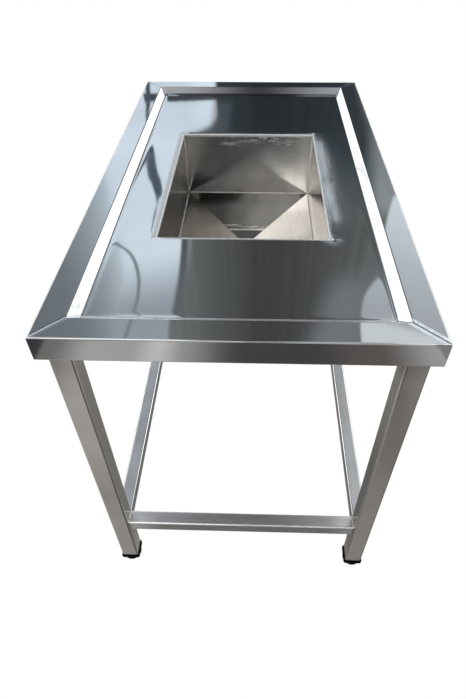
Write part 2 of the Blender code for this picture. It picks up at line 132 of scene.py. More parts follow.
# A value that changes over a surface or with direction. Signs between such values add Math nodes to its tree
class Amount:
    def __init__(self, socket):
        self.socket, self.tree = socket, socket.id_data

    def __add__(self, other):
        return calc("ADD", self, other)

    def __sub__(self, other):
        return calc("SUBTRACT", self, other)

    def __rsub__(self, other):
        return calc("SUBTRACT", other, self)

    def __mul__(self, other):
        return calc("MULTIPLY", self, other)

    def __truediv__(self, other):
        return calc("DIVIDE", self, other)

    def __abs__(self):
        return calc("ABSOLUTE", self)


def treeOf(*values):
    return next(value.tree for value in values if isinstance(value, Amount))


# Links an Amount to a socket, or sets a number or colour on it
def feed(socket, value):
    if isinstance(value, Amount):
        value.tree.links.new(value.socket, socket)
    elif isinstance(value, tuple):
        socket.default_value = (*value, 1.0)
    elif value is not None:
        socket.default_value = value


def calc(operation, first, second=None):
    node = treeOf(first, second).nodes.new("ShaderNodeMath")
    node.operation = operation
    feed(node.inputs[0], first)
    feed(node.inputs[1], second)
    return Amount(node.outputs[0])


def least(first, second):
    return calc("MINIMUM", first, second)


def greatest(first, second):
    return calc("MAXIMUM", first, second)


def distance(acrossX, acrossY):
    return calc("SQRT", acrossX * acrossX + acrossY * acrossY)


def ramp(value, low, high, outLow=0.0, outHigh=1.0, kind="SMOOTHSTEP"):
    node = value.tree.nodes.new("ShaderNodeMapRange")
    node.interpolation_type = kind
    for socket, number in zip(node.inputs, (value, low, high, outLow, outHigh)):
        feed(socket, number)
    return Amount(node.outputs[0])


# 1 between low and high, falling to 0 over soft on either side
def between(value, low, high, soft):
    return ramp(value, low - soft, low + soft) * ramp(value, high + soft, high - soft)


# A smooth curve through given points, held level beyond its ends. A plain number is a level line
def curve(value, points):
    if isinstance(points, (int, float)):
        return points
    if len(points) == 2:
        (low, outLow), (high, outHigh) = points
        return ramp(value, low, high, outLow, outHigh, "LINEAR")
    places, levels = zip(*points)
    node = value.tree.nodes.new("ShaderNodeFloatCurve")
    line = node.mapping.curves[0]
    for index, (place, level) in enumerate(points):
        across = (place - places[0]) / (places[-1] - places[0])
        height = (level - min(levels)) / (max(levels) - min(levels))
        if index in (0, len(points) - 1):
            line.points[0 if index == 0 else -1].location = (across, height)
        else:
            line.points.new(across, height)
    node.mapping.update()
    feed(node.inputs["Value"], ramp(value, places[0], places[-1], kind="LINEAR"))
    return ramp(Amount(node.outputs[0]), 0.0, 1.0, min(levels), max(levels), "LINEAR")


def blendColour(share, first, second, mode="MIX"):
    node = treeOf(share, first, second).nodes.new("ShaderNodeMix")
    node.data_type = "RGBA"
    node.blend_type = mode
    for index, value in ((0, share), (6, first), (7, second)):
        feed(node.inputs[index], value)
    return Amount(node.outputs[2])


# Noise on Object coordinates, drawn out along an axis by a small factor there
def noise(place, scale, stretch=(1, 1, 1), detail=3.0, rough=0.5):
    mapping = place.tree.nodes.new("ShaderNodeMapping")
    mapping.inputs["Scale"].default_value = stretch
    feed(mapping.inputs[0], place)
    node = place.tree.nodes.new("ShaderNodeTexNoise")
    for name, value in (("Scale", scale), ("Detail", detail), ("Roughness", rough)):
        node.inputs[name].default_value = value
    feed(node.inputs["Vector"], Amount(mapping.outputs[0]))
    return Amount(node.outputs[0])


# A noise, and two tones blended by its clouds
def clouds(place, scale, first, second, stretch=(1, 1, 1)):
    cloud = noise(place, scale, stretch, 4)
    return cloud, blendColour(ramp(cloud, 0.35, 0.7), first, second)


def newMaterial(name, metallic, specular=0.5):
    material = bpy.data.materials.new(name)
    material.use_nodes = True
    tree = material.node_tree
    shader = tree.nodes["Principled BSDF"]
    shader.inputs["Metallic"].default_value = metallic
    shader.inputs["Specular IOR Level"].default_value = specular
    return material, shader, Amount(tree.nodes.new("ShaderNodeTexCoord").outputs["Object"])


def splitPlace(place):
    xyz = place.tree.nodes.new("ShaderNodeSeparateXYZ")
    feed(xyz.inputs[0], place)
    return [Amount(socket) for socket in xyz.outputs]


# Bumps are chained: each takes the normal of the one before
def addBump(shader, height, distance, before=None):
    node = height.tree.nodes.new("ShaderNodeBump")
    node.inputs["Strength"].default_value = 1.0
    node.inputs["Distance"].default_value = distance
    feed(node.inputs["Height"], height)
    feed(node.inputs["Normal"], before)
    normal = Amount(node.outputs[0])
    feed(shader.inputs["Normal"], normal)
    return normal


# Materials

grainDepth = 0.000006


# Polished sheet. Ground bands follow the mitres, the front edge of the deck and the weld of the bowl's
# opening
def worktopSteel():
    look = {
        "colour": (0.60, 0.61, 0.62),
        "cloud": (0.56, 0.575, 0.59),
        "ground": (0.94, 0.96, 0.98),
        "dullToneAndPaintedShade": (0.26, 0.27, 0.28),
        "smearColour": (0.90, 0.95, 1.0),
        "gap": (0.06, 0.06, 0.06),
        "polish": 0.03,
        "groundRough": 0.26,
        "openingRough": 0.42,
        "smearRough": 0.46,
        # Pairs for the table's left and right half
        "mitreBand": (0.0075, 0.011),
        "mitreShare": (0.5, 1.0),
        "dullBand": (1.7, 0.0),
        "seam": (0.0009, 0.0017),  # half its width
        "ridge": (0.0018, 0.011),  # half its width
        "ridgeRise": (0.00012, 0.00028),
        "cornerShare": (0.2, 0.75),
        "backShare": 0.35,  # what the back corners have of the work on the front ones
        "openingBand": 0.0035,
        "openingLeft": 0.008,  # the band's extra width on the left
        "ragged": 0.003,
        "smearAcross": ((0.003, 0.72), (0.014, 1.0), (0.025, 0.78), (0.038, 0.40), (0.054, 0.18),
                        (0.082, 0.0)),
        "smearAlong": ((-0.31, 0.0), (-0.27, 0.18), (-0.235, 0.5), (-0.18, 0.9), (-0.10, 0.95), (0.12, 0.85),
                       (0.20, 0.5), (0.236, 0.0)),
        "swirl": (0.034, 0.006),  # where it ends and where it is full, from the opening's corner
        "frontLine": (0.051, 0.066),  # on the front slope, from the table's front
        "frontShare": 0.5,
        "spots": (0.052, 0.066),  # dull spots on the side slopes, from the table's side
        "apronMiddle": 0.825,
        "cornerSlant": -0.7,
        "brushDepth": 0.000015,
    }
    material, shader, place = newMaterial("polishedSheet", 1.0)
    x, y, z = splitPlace(place)
    rightHalf = ramp(x, -0.05, 0.05)

    def bySide(left, right):
        return ramp(rightHalf, 0, 1, left, right)

    insetX, insetY = halfX - abs(x), halfY - abs(y)
    offMitre = abs(insetX - insetY)
    inset = least(insetX, insetY)
    onRim = ramp(inset, 0.070, 0.066) * ramp(inset, 0.001, 0.003)
    streaks = noise(place, 30)
    brushed = ramp(noise(place, 120, detail=2), 0.35, 0.65, 0.6, 1.0)
    atFront = ramp(y, 0.2, -0.2, look["backShare"], 1.0)
    frontHalf = ramp(y, 0.01, -0.01)
    mitre = ramp(offMitre / bySide(*look["mitreBand"]), 1.25, 0.8) * onRim * bySide(*look["mitreShare"])
    mitre = mitre * brushed * atFront
    seam = ramp(offMitre / bySide(*look["seam"]), 1.4, 0.7) * onRim * atFront
    fromOpening = greatest(abs(x) - bowlHalfX, abs(y - bowlY) - bowlHalfY)
    ragged = (noise(place, 26, detail=2) - 0.5) * look["ragged"]
    band = ramp(x, -0.9 * bowlHalfX, -bowlHalfX, 0.0, look["openingLeft"]) + look["openingBand"]
    opening = ramp(fromOpening + ragged - band, 0.002, -0.002)
    # Ground smear on the deck right of the opening, in streaks along its edge
    smearStreak = ramp(noise(place, 45, (1, 0.10, 1), rough=0.6), 0.30, 0.62, 0.7, 1.0)
    smearCloud = ramp(noise(place, 13, (1, 0.6, 1), 2), 0.30, 0.55, 0.6, 1.0)
    smear = ramp(x, bowlHalfX + 0.002, bowlHalfX + 0.006) * smearStreak * smearCloud
    smear = smear * curve(x - bowlHalfX, look["smearAcross"]) * curve(y, look["smearAlong"])
    # and a swirl of the same round the opening's front corner
    fromCorner = distance(x - (bowlHalfX + 0.004), y - (bowlY - bowlHalfY - 0.004))
    swirl = ramp(fromCorner, *look["swirl"]) * ramp(fromOpening, 0.002, 0.005)
    swirl = swirl * ramp(noise(place, 90, (0.35, 1, 1), rough=0.6), 0.34, 0.62, 0.05, 0.75)
    smear = greatest(smear, swirl)
    frontLine = between(insetY, *look["frontLine"], 0.002) * frontHalf * ramp(insetX, 0.058, 0.064)
    worked = greatest(mitre, frontLine * look["frontShare"])
    smudge, tint = clouds(place, 5, look["colour"], look["cloud"])
    spots = ramp(noise(place, 17, (1, 0.5, 1), 4, 0.6), 0.52, 0.66, 0.0, 0.85)
    spots = spots * between(insetX, *look["spots"], 0.001) * ramp(insetY, 0.066, 0.070)
    tint = blendColour(spots, tint, look["dullToneAndPaintedShade"])
    # Dull grinding marks slant across the apron's front corners
    slant = insetX + (z - look["apronMiddle"]) * look["cornerSlant"] + (streaks - 0.5) * 0.02
    corner = ramp(insetY, 0.002, 0.001) * frontHalf * ramp(slant, 0.012, 0.004) * bySide(*look["cornerShare"])
    tint = blendColour(corner, tint, look["dullToneAndPaintedShade"])
    tint = blendColour(greatest(worked, opening), tint, look["ground"])
    # The left rim's side of its mitre was left dull
    dullBand = mitre * ramp(insetX - insetY, -0.0004, -0.0016) * bySide(*look["dullBand"])
    tint = blendColour(dullBand, tint, look["dullToneAndPaintedShade"])
    tint = blendColour(smear, tint, look["smearColour"])
    tint = blendColour(seam * (1.0 - rightHalf), tint, look["ground"])
    tint = blendColour(seam * rightHalf, tint, look["gap"])  # the seams on the right stayed open
    feed(shader.inputs["Base Color"], tint)
    worn = worked * look["groundRough"] * ramp(streaks, 0.3, 0.7, 0.7, 1.2)
    rough = ramp(smudge, 0.4, 0.75, 0.0, 0.02) + look["polish"]
    rough = rough + greatest(opening * look["openingRough"], worn) + smear * look["smearRough"]
    feed(shader.inputs["Roughness"], rough)
    grain = noise(place, 60, (0.02, 1, 1), 4)
    brushing = addBump(shader, grain * (mitre + 0.1), look["brushDepth"])
    # The ground weld of each mitre stands a little proud: 1 - (distance / half its width) squared
    share = least(offMitre / bySide(*look["ridge"]), 1.0)
    riseLeft, riseRight = look["ridgeRise"]
    proud = (1.0 - share * share) * onRim * atFront * bySide(riseLeft / riseRight, 1.0)
    addBump(shader, proud, riseRight, brushing)
    return material


# Rolled and lightly brushed steel: fine grain along the piece, cloudy tone and a slight waviness. worn says
# where along a stretcher the brushed end begins and is full, and also turns on a painted highlight along its
# upper edges. The leg settings paint shade, dark reflections and highlights into the legs' colour
def satinSteel(name, colour, darker, rough, stretch=(1, 1, 1), wave=0.0, legPaintedShading=None, worn=None):
    material, shader, place = newMaterial(name, 1.0)
    x, y, z = splitPlace(place)
    normal = Amount(place.tree.nodes.new("ShaderNodeNewGeometry").outputs["Normal"])
    faceX, faceY, faceZ = splitPlace(normal)
    cloud, tint = clouds(place, 7, colour, darker)
    grain = noise(place, 240, stretch)
    spread = ramp(grain, 0.3, 0.7, rough * 0.92, rough * 1.1)
    if legPaintedShading:  # painted dark reflection on each leg's right rounded corner, painted highlight on its left
        reach, soft = legPaintedShading["reach"], legPaintedShading["soft"]
        onLeft, onRight = ramp(x, 0.01, -0.01), ramp(x, -0.01, 0.01)
        offX = x - calc("SIGN", x) * legPaintedShading["middleX"]
        beyond = ramp(abs(abs(y) - legPaintedShading["middleY"]), reach - soft, reach + soft)
        tint = blendColour(beyond * ramp(offX, reach - soft, reach + soft), tint, legPaintedShading["dullToneAndPaintedShade"])
        # Painted highlight on the left corners; on the right legs only low down
        lowOrLeft = greatest(ramp(z, 0.74, 0.62), onLeft)
        tint = blendColour(beyond * ramp(offX, soft - reach, -soft - reach) * lowOrLeft, tint, legPaintedShading["bright"])
        # Inner faces painted lighter: a painted reflection, on the right legs only partway up
        paintedLightInnerLeft = ramp(faceX, 0.7, 0.95) * onLeft
        paintedLightInnerRight = ramp(faceX, -0.7, -0.95) * onRight * ramp(z, 0.40, 0.70)
        tint = blendColour(greatest(paintedLightInnerLeft, paintedLightInnerRight), tint, legPaintedShading["inner"])
        # Painted shade at the top of the front right leg, under the apron
        top = onRight * ramp(y, 0.01, -0.01) * ramp(z, 0.72, 0.79)
        tint = blendColour(top * legPaintedShading["topShadeShare"], tint, legPaintedShading["dullToneAndPaintedShade"])
    if worn:  # painted white highlight along a stretcher's upper edges, and its ends lightened where the welds were brushed
        # Painted highlight on the rounded upper edges
        edge = between(faceZ, 0.2, 0.93, 0.06)
        streak = ramp(noise(place, 110, stretch, rough=0.6), 0.35, 0.65, 0.35, 1.0)
        along = abs(x) if stretch[0] < 1 else y
        end = ramp(along, *worn) * streak * ramp(faceZ, 0.9, 0.98)
        tint = blendColour(greatest(edge, end), tint, (1.0, 1.0, 1.0))
        spread = spread - edge * (rough * 0.6)
    feed(shader.inputs["Base Color"], tint)
    feed(shader.inputs["Roughness"], spread)
    waves = addBump(shader, noise(place, 4, detail=1), wave)
    addBump(shader, grain, grainDepth, waves)
    return material


# Bowl sheets: satin, with the top of the back wall ground bright after welding
def bowlWallSteel():
    look = {
        "colour": (0.65, 0.635, 0.61),
        "cloud": (0.54, 0.525, 0.50),
        "rough": (0.10, 0.20),  # low and high on the wall
        "roughFrom": (0.690, 0.735),
        "ground": (0.92, 0.92, 0.92),
        "groundFrom": (0.811, 0.817),
        "groundAcross": (-0.07, 0.115),
        "groundRough": 0.3,
        "wave": 0.0016,
    }
    material, shader, place = newMaterial("bowlWall", 1.0)
    x, y, z = splitPlace(place)
    back = bowlY + bowlHalfY
    cloud, tint = clouds(place, 9, look["colour"], look["cloud"], (1, 1, 0.5))
    grain = noise(place, 200, (1, 1, 0.03))
    scuff = ramp(noise(place, 42, (0.7, 1, 3.2), 4, 0.65), 0.44, 0.62, 0.0, 0.8)
    reach = z + ramp(noise(place, 24, (1, 1, 0.1), rough=0.6), 0.3, 0.7, 0.0, 0.016, "LINEAR")
    scuff = scuff * ramp(reach, *look["groundFrom"]) * between(x, *look["groundAcross"], 0.03)
    scuff = scuff * ramp(y, back - 0.01, back - 0.002)
    feed(shader.inputs["Base Color"], blendColour(scuff, tint, look["ground"]))
    rough = ramp(z, *look["roughFrom"], *look["rough"]) * ramp(grain, 0.3, 0.7, 0.95, 1.05)
    feed(shader.inputs["Roughness"], rough + scuff * look["groundRough"])
    waves = addBump(shader, noise(place, 6, detail=2), look["wave"])
    addBump(shader, grain, grainDepth, waves)
    return material


# Bowl floor: the four facets between the creases are slightly dished, which tilts them more than their fall
def bowlFloorSteel():
    look = {
        "colour": (0.71, 0.70, 0.68),
        "cloud": (0.62, 0.61, 0.59),
        "paintedDarkReflection": (0.27, 0.27, 0.26),
        "bright": (0.88, 0.86, 0.83),
        "rough": 0.03,
        "dishing": 0.013,
        "wave": 0.0006,
    }
    material, shader, place = newMaterial("bowlFloor", 1.0)
    x, y, z = splitPlace(place)
    cloud, tint = clouds(place, 12, look["colour"], look["cloud"])
    grain = noise(place, 160, (0.05, 1, 1))
    # Painted reflection: the floor is painted brighter to the right and the front and darker at the back left
    bright = greatest(ramp(x, -0.02, 0.04), ramp(y, -0.12, -0.22))
    paintedDarkReflection = (ramp(y, -0.19, 0.13) + ramp(cloud, 0.3, 0.7, -0.12, 0.12)) * ramp(x, 0.02, -0.09)
    tint = blendColour(bright, tint, look["bright"])
    tint = blendColour(paintedDarkReflection, tint, look["paintedDarkReflection"])
    feed(shader.inputs["Base Color"], tint)
    feed(shader.inputs["Roughness"], ramp(grain, 0.3, 0.7, look["rough"] * 0.9, look["rough"] * 1.1))
    pyramid = greatest(abs(x) / bowlHalfX, abs(y - bowlY) / bowlHalfY)
    dished = addBump(shader, pyramid, look["dishing"])
    waves = addBump(shader, noise(place, 6, detail=2), look["wave"], dished)
    addBump(shader, grain, grainDepth, waves)
    return material


# Moulded plastic or rubber: faint clouds up to 1.8 times as light, and a fine fleck
def plastic(name, colour, rough, specular):
    material, shader, place = newMaterial(name, 0.0, specular)
    cloud = noise(place, 30)
    lighter = tuple(channel * 1.8 for channel in colour)
    feed(shader.inputs["Base Color"], blendColour(cloud, colour, lighter))
    feed(shader.inputs["Roughness"], ramp(cloud, 0.3, 0.7, rough * 0.85, rough * 1.15))
    addBump(shader, noise(place, 400, detail=2), 0.00004)
    return material


polishedSheet = worktopSteel()
bowlWall = bowlWallSteel()
bowlFloorSheet = bowlFloorSteel()
legLow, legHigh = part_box("leg_front_right")
legMiddle = (legLow + legHigh) / 2
legHalf = (legHigh.x - legLow.x) / 2
# Painted light on the legs: painted dark reflections and highlights on the rounded corners, painted
# reflection lightening the inner faces, and painted shade at the front right leg's top
legPaintedShading = {
    "middleX": legMiddle.x,
    "middleY": -legMiddle.y,
    "reach": legHalf - 0.0040,  # from a leg's middle to where its corners begin
    "soft": 0.0006,
    "dullToneAndPaintedShade": (0.33, 0.31, 0.29),
    "bright": (0.76, 0.75, 0.73),
    "inner": (0.92, 0.92, 0.86),
    "topShadeShare": 0.8,
}
tubeWave = 0.0006
legSteel = satinSteel("legSteel", (0.60, 0.585, 0.565), (0.52, 0.50, 0.475), 0.20, (1, 1, 0.02), tubeWave,
                      legPaintedShading=legPaintedShading)
railAlongX = satinSteel("railAlongX", (0.66, 0.66, 0.67), (0.55, 0.55, 0.56), 0.36, (0.02, 1, 1), tubeWave,
                        worn=(0.20, 0.27))
railAlongY = satinSteel("railAlongY", (0.67, 0.67, 0.68), (0.55, 0.55, 0.56), 0.28, (1, 0.02, 1), tubeWave,
                        worn=(-0.15, 0.45))
turnedSteel = satinSteel("turnedSteel", (0.62, 0.62, 0.62), (0.55, 0.55, 0.55), 0.14)
weldSteel = satinSteel("weldSteel", (0.86, 0.85, 0.83), (0.62, 0.58, 0.54), 0.34)
zincSteel = satinSteel("zincSteel", (0.50, 0.51, 0.53), (0.42, 0.43, 0.45), 0.32)
blackPlastic = plastic("blackPlastic", (0.0012, 0.0012, 0.0016), 0.34, 0.02)
blackRubber = plastic("blackRubber", (0.02, 0.02, 0.02), 0.7, 0.3)
whitePlastic = plastic("whitePlastic", (0.70, 0.70, 0.68), 0.45, 0.5)
print("materials made")


# Worktop

worktop = {
    "rim": 0.050,
    "slopeRun": 0.018,
    "deckDrop": 0.014,
    "lip": 0.008,
    "deckRun": 0.004,
    "bends": (0.003, 0.003, 0.0042, 0.0055),  # apron's lip, outer edge, top of the slope, foot of the slope
    "holeBends": (0.004, 0.0018),
    "footEnd": 0.0019,  # how far the bend at the foot of the slope reaches into the deck
    "bendSteps": 8,
    "flange": 0.008,
    "drawnIn": (0.0085, 0.0020),  # the deck's edge at the opening is drawn down by the weld: width, drop
    "sidePoints": 60,
    "longestRun": 0.006,
    "rollRun": 0.045,  # the deck curls up a little towards the slope
    "rollPoints": 14,
    "rollTilt": 0.13,
    "rollReach": 0.0032,
    "deckRings": 18,
    "waves": (  # length of the wave, heading in degrees, height, phase
        (0.62, 20, 0.00010, 0.4),
        (0.41, 75, 0.00007, 1.9),
        (0.29, 130, 0.00003, 4.1),
        (0.23, 50, 0.00002, 2.6),
    ),
}


# Depth below flat, and its slopes, of a slightly wavy sheet: a sum of sines that is never above flat
def sheetWaves(x, y):
    depth, slopeX, slopeY = np.zeros_like(x), np.zeros_like(x), np.zeros_like(x)
    for length, heading, height, phase in worktop["waves"]:
        kx = 2 * math.pi / length * math.cos(math.radians(heading))
        ky = 2 * math.pi / length * math.sin(math.radians(heading))
        depth -= height * (1 - np.sin(kx * x + ky * y + phase))
        slopeX += height * kx * np.cos(kx * x + ky * y + phase)
        slopeY += height * ky * np.cos(kx * x + ky * y + phase)
    return depth, slopeX, slopeY


# Points round rectangles from the front left corner, count on each side, for arrays of half sizes
def aroundRectangle(reachX, reachY, centreY, count):
    share = np.arange(count) / count
    one = np.ones(count)
    unitX = np.concatenate([2 * share - 1, one, 1 - 2 * share, -one])
    unitY = np.concatenate([-one, 2 * share - 1, one, 1 - 2 * share])
    return reachX[:, None] * unitX, centreY[:, None] + reachY[:, None] * unitY


# The edge's section is carried round the table's rectangle, rings then close in on the bowl's opening, and
# the section of the turned-down flange is carried round that. The underside is the same, one sheet lower
def buildWorktop():
    look = worktop
    deckTop = tableTop - look["deckDrop"]
    deckStart = look["rim"] + look["slopeRun"]
    edge, edgeNormal = splitRuns(*roundedPath([
        (look["lip"], apronLow), (0, apronLow), (0, tableTop), (look["rim"], tableTop),
        (deckStart, deckTop), (deckStart + look["deckRun"], deckTop),
    ], look["bends"], look["bendSteps"]), look["longestRun"])
    # The deck's curl past the slope: tilt * reach * exp(-past / reach), with its points closest at the slope
    tilt, reach = look["rollTilt"], look["rollReach"]
    further = look["deckRun"] + look["rollRun"] * np.linspace(0, 1, look["rollPoints"])[1:] ** 2
    edge = np.concatenate([edge, np.stack([deckStart + further, np.full_like(further, deckTop)], axis=1)])
    edgeNormal = np.concatenate([edgeNormal, np.repeat([[0.0, 1.0]], len(further), axis=0)])
    past = edge[:, 0] - deckStart - look["footEnd"]
    onDeck = past >= 0
    sinks = np.clip((tableTop - edge[:, 1]) / look["deckDrop"], 0, 1) * (edge[:, 0] > look["rim"] / 2)
    curl = tilt * reach * np.exp(-np.maximum(past, 0) / reach)
    edge[:, 1] += np.where(onDeck, curl, tilt * reach * sinks)
    edgeNormal[:, 0] += np.where(onDeck, curl / reach, 0)
    width, drop = look["drawnIn"]
    hole, holeNormal = roundedPath([
        (-2 * width, deckTop), (-width, deckTop), (0, deckTop - drop), (0, deckTop - look["flange"]),
    ], look["holeBends"], look["bendSteps"])
    share = np.linspace(0, 1, look["deckRings"] + 2)[1:-1]
    flat = np.zeros_like(share)

    def rings(edge, hole):
        reachX = np.concatenate([halfX - edge[:, 0], flat, bowlHalfX - hole[:, 0]])
        reachY = np.concatenate([halfY - edge[:, 0], flat, bowlHalfY - hole[:, 0]])
        centre = np.concatenate([edge[:, 0] * 0, flat, hole[:, 0] * 0 + bowlY])
        height = np.concatenate([edge[:, 1], flat, hole[:, 1]])
        first, last = len(edge) - 1, len(edge) + len(share)
        for values in (reachX, reachY, centre, height):
            values[first + 1:last] = values[first] + (values[last] - values[first]) * share
        x, y = aroundRectangle(reachX, reachY, centre, look["sidePoints"])
        return x, y, np.repeat(height[:, None], x.shape[1], axis=1)

    upX, upY, upZ = rings(edge, hole)
    lowX, lowY, lowZ = rings(edge - sheet * edgeNormal, hole - sheet * holeNormal)
    depth, slopeX, slopeY = sheetWaves(upX, upY)
    # The lip and the apron's foot stay straight
    firm = np.clip((upZ - apronLow) / (tableTop - apronLow), 0, 1)
    top = np.stack([upX, upY, upZ + depth * firm], axis=-1)
    under = np.stack([lowX, lowY, lowZ + depth * firm], axis=-1)
    points = np.concatenate([top, under[::-1]])
    rows, cols = points.shape[:2]
    quads = gridQuads(rows, cols, closeRows=True, closeCols=True)

    # Normals: the section's own, turned to face each side, and tilted by the waves
    acrossIn = np.concatenate([edgeNormal[:, 0], flat, holeNormal[:, 0]])
    acrossUp = np.concatenate([edgeNormal[:, 1], flat + 1, holeNormal[:, 1]])
    acrossIn = np.concatenate([acrossIn, -acrossIn[::-1]])
    acrossUp = np.concatenate([acrossUp, -acrossUp[::-1]])
    sideIn = np.array([(0, 1), (-1, 0), (0, -1), (1, 0)], float)  # towards the middle, from each side
    row = quads.reshape(rows, cols, 4) // cols
    side = np.arange(cols) // look["sidePoints"]
    inward = sideIn[side][None, :, None, :]
    normals = np.concatenate([acrossIn[row][..., None] * inward, acrossUp[row][..., None]], axis=-1)
    slopes = np.stack([slopeX, slopeY], axis=-1)
    slopes = np.concatenate([slopes, slopes[::-1]]).reshape(-1, 2)[quads].reshape(rows, cols, 4, 2)
    normals[..., :2] -= slopes * normals[..., 2:]
    normals /= np.linalg.norm(normals, axis=-1, keepdims=True)
    makePiece("worktop_sheet", points, quads, polishedSheet, normals, stands=("worktop",))


buildWorktop()
print("worktop made")


# Tubes

tube = {"corner": 0.004, "cornerSteps": 7, "wall": 0.0015}


# Points and outward normals round a square with round corners, anticlockwise: a quarter turn about the centre
# of each corner
def roundedSquare(half, corner, steps):
    turn = np.linspace(0, math.pi / 2, steps + 1)
    turn = (turn[None, :] + np.arange(4)[:, None] * math.pi / 2).ravel()
    normal = np.stack([np.cos(turn), np.sin(turn)], axis=1)
    quarter = np.repeat(np.arange(4), steps + 1) * math.pi / 2 + math.pi / 4
    middle = np.sign(np.stack([np.cos(quarter), np.sin(quarter)], axis=1))
    return middle * (half - corner) + corner * normal, normal


# A square tube in the place of its solid: outline carried along its axis, outside and inside
def buildTube(node, axis, material):
    low, high = (np.array(corner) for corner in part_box(node))
    across = [index for index in range(3) if index != axis]
    if axis == 1:
        across = across[::-1]  # keeps the outline anticlockwise about the axis
    middle = (low + high) / 2
    half = (high - low)[across[0]] / 2
    corner, wall, steps = tube["corner"], tube["wall"], tube["cornerSteps"]
    outer, outerNormal = roundedSquare(half, corner, steps)
    inner = roundedSquare(half - wall, corner - wall, steps)[0]
    points = np.zeros((4, len(outer), 3))
    for index, (outline, end) in enumerate([(outer, low), (outer, high), (inner, high), (inner, low)]):
        points[index][:, across] = outline + middle[across]
        points[index][:, axis] = end[axis]
    quads = gridQuads(4, len(outer), closeRows=True, closeCols=True)
    following = np.roll(outerNormal, -1, axis=0)
    sweep = np.stack([outerNormal, following, following, outerNormal], axis=1)
    normals = np.zeros((4, len(outer), 4, 3))
    normals[0][..., across] = sweep
    normals[1][..., axis] = 1
    normals[2][..., across] = -sweep
    normals[3][..., axis] = -1
    makePiece(node + "_tube", points, quads, material, normals, stands=(node,))


for end in ("front", "back"):
    for side in ("left", "right"):
        buildTube(f"leg_{end}_{side}", 2, legSteel)
for level in ("top_rail", "stretcher"):
    for end in ("front", "back"):
        buildTube(f"{level}_{end}", 0, railAlongX)
    for side in ("left", "right"):
        buildTube(f"{level}_{side}", 1, railAlongY)
print("tubes made")


# Welds

weld = {
    "radius": 0.0016,
    "step": 0.0022,  # from one ripple to the next
    "ripple": 0.16,
    "rowsPerStep": 4,
    "wander": ((0.10, 37, 90), (0.07, 91, 50)),  # size, pace along the bead, start by its length
    "endPower": 24,  # the higher, the blunter the ends
    "sides": 8,
    "bowlCorner": 0.0022,
    "cornerFoot": 0.001,
    "cornerHead": 0.002,
    "floorEnd": 0.003,
    "thin": 0.0012,
    "inset": 0.0004,
    # At the opening's right corners, front and back: past the corner in x and y, radius, squash
    "blobs": ((0.003, 0.003, 0.0050, 0.30), (0.002, 0.004, 0.0035, 0.35)),
    "blobGrid": (12, 16),
    "blobLobe": 0.08,
    "blobSink": 0.0006,
}


# A bead along a straight run: a circle carried along it, whose radius swells a little at each ripple and
# closes to nothing at both ends
def buildBead(name, start, stop, radius):
    start, stop = np.array(start, float), np.array(stop, float)
    length = np.linalg.norm(stop - start)
    along = (stop - start) / length
    spare = np.array([0, 0, 1.0]) if abs(along[2]) < 0.9 else np.array([1.0, 0, 0])
    across = np.cross(spare, along)
    across /= np.linalg.norm(across)
    rise = np.cross(along, across)
    rows = max(8, int(length / weld["step"] * weld["rowsPerStep"]))
    share = np.linspace(0, 1, rows)
    ripple = 1 + weld["ripple"] * np.sin(share * length / weld["step"] * 2 * math.pi)
    for size, pace, byLength in weld["wander"]:
        ripple += size * np.sin(share * pace + length * byLength)
    taper = np.sqrt(np.clip(1 - (2 * share - 1) ** weld["endPower"], 0, 1))
    taper[[0, -1]] = 0
    girth = radius * ripple * taper
    turn = np.arange(weld["sides"]) / weld["sides"] * 2 * math.pi
    ring = np.cos(turn)[:, None] * across + np.sin(turn)[:, None] * rise
    points = start + (stop - start) * share[:, None, None] + girth[:, None, None] * ring
    makePiece(name, points, gridQuads(rows, weld["sides"], closeCols=True), weldSteel, sharp=180)


# A blob of weld: a ball squashed in z, with three slight lobes
def buildBlob(name, centre, radius, squash):
    rows, cols = weld["blobGrid"]
    tilt = np.linspace(0, math.pi, rows)[:, None]
    turn = (np.arange(cols) / cols * 2 * math.pi)[None, :]
    points = np.stack([np.sin(tilt) * np.cos(turn), -np.sin(tilt) * np.sin(turn),
                       np.cos(tilt) * squash + 0 * turn], axis=-1)
    points = np.array(centre) + radius * points * (1 + weld["blobLobe"] * np.sin(3 * turn + 1))[..., None]
    makePiece(name, points, gridQuads(rows, cols, closeCols=True), weldSteel, sharp=180)


